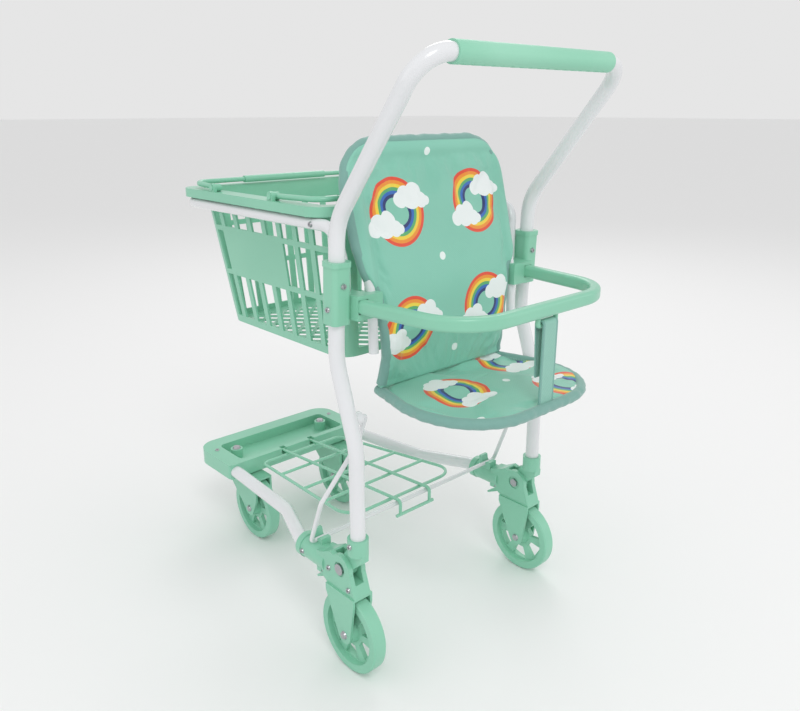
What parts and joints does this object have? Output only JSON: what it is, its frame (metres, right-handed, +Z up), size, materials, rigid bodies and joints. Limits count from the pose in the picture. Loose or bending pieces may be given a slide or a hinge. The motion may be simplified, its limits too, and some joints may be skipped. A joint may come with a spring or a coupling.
{
  "type": "toy shopping cart",
  "caption": "Toy shopping cart with a doll seat, a lift-out hand basket, a wire rack, swivel front casters and folding legs.",
  "frame": {"origin": "on the floor, under the middle of the cart's overall box", "axes": "+Z up, +Y towards the basket and tray nose, -Y towards the handle and the person pushing, +X to the cart's right"},
  "size_m": [0.312, 0.525, 0.6318],
  "materials": {
    "mint_plastic": "gloss",
    "white_plastic": "gloss",
    "white_paint": "gloss",
    "mint_paint": "gloss",
    "steel": "satin",
    "grip": "satin",
    "webbing": "matte",
    "seat_fabric": "satin"
  },
  "bodies": {
    "base": {"tray": "mint_plastic", "tray_screws": "steel", "rail_left": "white_paint", "rail_right": "white_paint", "rear_housing_left": "mint_plastic", "rear_housing_right": "mint_plastic", "rear_fork_left": "mint_plastic", "rear_fork_right": "mint_plastic", "rear_axles": "steel", "fold_bolts": "steel", "base_screws": "steel", "lever_pins": "steel"},
    "upper_frame": {"leg_socket_left": "mint_plastic", "leg_socket_right": "mint_plastic", "leg_tube_left": "white_paint", "leg_tube_right": "white_paint", "sleeve_left": "mint_plastic", "sleeve_right": "mint_plastic", "handle_tube": "white_paint", "handle_grip": "grip", "brace_plugs": "white_plastic", "leg_screws": "steel", "armrest": "mint_plastic", "crotch_strap": "webbing", "basket_hoop": "white_paint", "hoop_screws": "steel", "seat_frame": "white_paint", "seat_back": "seat_fabric", "seat_pan": "seat_fabric"},
    "basket_body": {"basket": "mint_plastic", "bail_pins": "white_plastic"},
    "front_bail": {"bail_front": "white_plastic"},
    "rear_bail": {"bail_rear": "white_plastic"},
    "brace": {"brace_wire": "white_paint"},
    "rack_body": {"rack": "mint_paint"},
    "caster_left": {"caster_fork_left": "mint_plastic", "caster_stem_left": "steel", "caster_axle_left": "steel"},
    "front_wheel_left": {"caster_wheel_left": "white_plastic"},
    "back_wheel_left": {"rear_wheel_left": "white_plastic"},
    "release_left": {"lever_left": "white_plastic"},
    "caster_right": {"caster_fork_right": "mint_plastic", "caster_stem_right": "steel", "caster_axle_right": "steel"},
    "front_wheel_right": {"caster_wheel_right": "white_plastic"},
    "back_wheel_right": {"rear_wheel_right": "white_plastic"},
    "release_right": {"lever_right": "white_plastic"}
  },
  "joints": [
    {"name": "leg_fold", "type": "hinge", "parent": "base", "child": "upper_frame", "pos_m": [0, -0.1195, 0.119], "axis": [1, 0, 0], "range_deg": [-30, 0]},
    {"name": "brace_turn", "type": "hinge", "parent": "base", "child": "brace", "pos_m": [0, -0.0675, 0.1265], "axis": [1, 0, 0], "range_deg": [-30, 0]},
    {"name": "rack_lift", "type": "hinge", "parent": "base", "child": "rack_body", "pos_m": [0, 0.1755, 0.112], "axis": [-1, 0, 0], "range_deg": [0, 35]},
    {"name": "basket_lift", "type": "slide", "parent": "upper_frame", "child": "basket_body", "axis": [0, 0.1184, 0.993], "range_m": [0, 0.15]},
    {"name": "bail_front_swing", "type": "hinge", "parent": "basket_body", "child": "front_bail", "pos_m": [0, 0.1205, 0.4915], "axis": [1, 0, 0], "range_deg": [0, 95]},
    {"name": "bail_rear_swing", "type": "hinge", "parent": "basket_body", "child": "rear_bail", "pos_m": [0, 0.0015, 0.4915], "axis": [-1, 0, 0], "range_deg": [0, 95]},
    {"name": "caster_swivel_left", "type": "hinge", "parent": "base", "child": "caster_left", "pos_m": [-0.073, 0.2175, 0.1], "axis": [0, 0, 1], "continuous": true},
    {"name": "caster_spin_left", "type": "hinge", "parent": "caster_left", "child": "front_wheel_left", "pos_m": [-0.073, 0.1695, 0.0445], "axis": [1, 0, 0], "continuous": true},
    {"name": "rear_spin_left", "type": "hinge", "parent": "base", "child": "back_wheel_left", "pos_m": [-0.141, -0.1275, 0.0445], "axis": [1, 0, 0], "continuous": true},
    {"name": "lever_press_left", "type": "hinge", "parent": "base", "child": "release_left", "pos_m": [-0.141, -0.0885, 0.102], "axis": [1, 0, 0], "range_deg": [0, 10], "stiffness_Nm_per_rad": 0.02},
    {"name": "caster_swivel_right", "type": "hinge", "parent": "base", "child": "caster_right", "pos_m": [0.073, 0.2175, 0.1], "axis": [0, 0, 1], "continuous": true},
    {"name": "caster_spin_right", "type": "hinge", "parent": "caster_right", "child": "front_wheel_right", "pos_m": [0.073, 0.1695, 0.0445], "axis": [1, 0, 0], "continuous": true},
    {"name": "rear_spin_right", "type": "hinge", "parent": "base", "child": "back_wheel_right", "pos_m": [0.141, -0.1275, 0.0445], "axis": [1, 0, 0], "continuous": true},
    {"name": "lever_press_right", "type": "hinge", "parent": "base", "child": "release_right", "pos_m": [0.141, -0.0885, 0.102], "axis": [1, 0, 0], "range_deg": [0, 10], "stiffness_Nm_per_rad": 0.02}
  ],
  "couplings": [
    {"joint": "brace_turn", "follows": "leg_fold", "ratio": 1}
  ]
}
